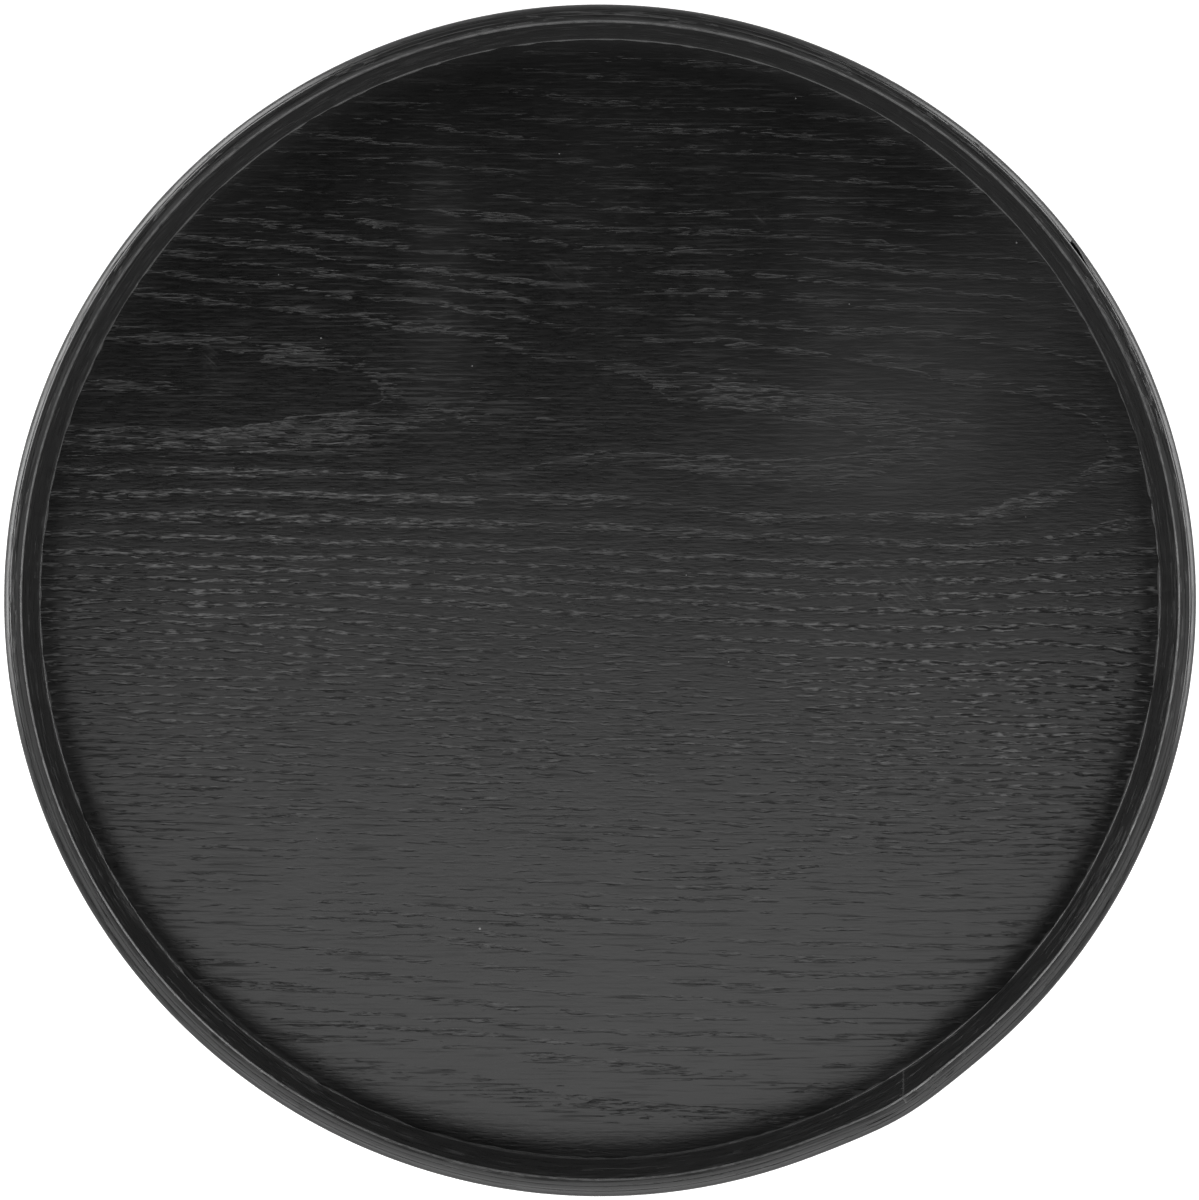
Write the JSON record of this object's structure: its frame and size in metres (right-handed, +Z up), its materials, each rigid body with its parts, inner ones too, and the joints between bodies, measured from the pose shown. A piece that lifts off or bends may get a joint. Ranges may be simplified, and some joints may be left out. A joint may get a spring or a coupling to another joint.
{
  "type": "serving tray",
  "caption": "Round low-rimmed serving tray: a flat veneered wooden floor panel set in a laminated bentwood hoop, stained black, for carrying drinks and plates.",
  "frame": {"origin": "centre of the underside, on the surface the tray stands on", "axes": "+Z up out of the tray's well; +X along the grain of the floor panel; +Y across the grain"},
  "size_m": [0.35, 0.35, 0.02],
  "materials": {
    "hoop_black_ash": "black-stained bent ash, satin lacquer, grain lightly open",
    "face_black_ash": "black-stained crown-cut ash veneer, satin lacquer, open pores",
    "plain_ply": "unstained birch ply, raw, hidden inside the panel"
  },
  "bodies": {
    "root": {"hoop_inner_strip": "hoop_black_ash", "hoop_second_strip": "hoop_black_ash", "hoop_third_strip": "hoop_black_ash", "hoop_outer_strip": "hoop_black_ash", "face_veneer": "face_black_ash", "upper_crossband": "plain_ply", "core_ply": "plain_ply", "lower_crossband": "plain_ply", "back_veneer": "face_black_ash"}
  },
  "joints": []
}
